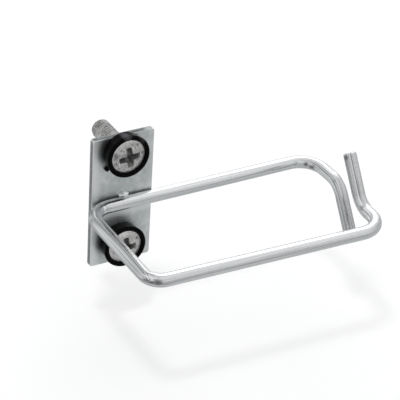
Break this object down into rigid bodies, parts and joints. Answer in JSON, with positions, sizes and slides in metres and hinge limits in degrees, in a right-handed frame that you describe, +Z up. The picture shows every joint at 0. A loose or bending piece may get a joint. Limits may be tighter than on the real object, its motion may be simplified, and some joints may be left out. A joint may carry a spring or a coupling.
{
  "type": "rack cable management hook",
  "caption": "Open wire ring welded to a flat steel plate, fixed to a rack post by cross-head screws in cup washers; cables slip in through the gap between its bent ends.",
  "frame": {"origin": "The middle of the plate's back face, which lies flat against the rack post.", "axes": "+X runs right along the plate's width and the ring's long side, +Y goes back into the rack post along the screws, and +Z is up along the plate's height."},
  "size_m": [0.0814, 0.0621, 0.0449],
  "materials": {
    "zinc_plate": "satin zinc plating",
    "zinc_wire": "bright zinc plating, drawn lengthwise",
    "weld_metal": "bright plated weld lump",
    "black_plastic": "gloss moulded black",
    "screw_steel": "scuffed zinc plating"
  },
  "bodies": {
    "root": {"mounting_plate": "zinc_plate", "wire_ring": "zinc_wire", "weld_bead": "weld_metal", "upper_cup_washer": "black_plastic", "lower_cup_washer": "black_plastic", "upper_screw": "screw_steel", "lower_screw": "screw_steel"}
  },
  "joints": []
}
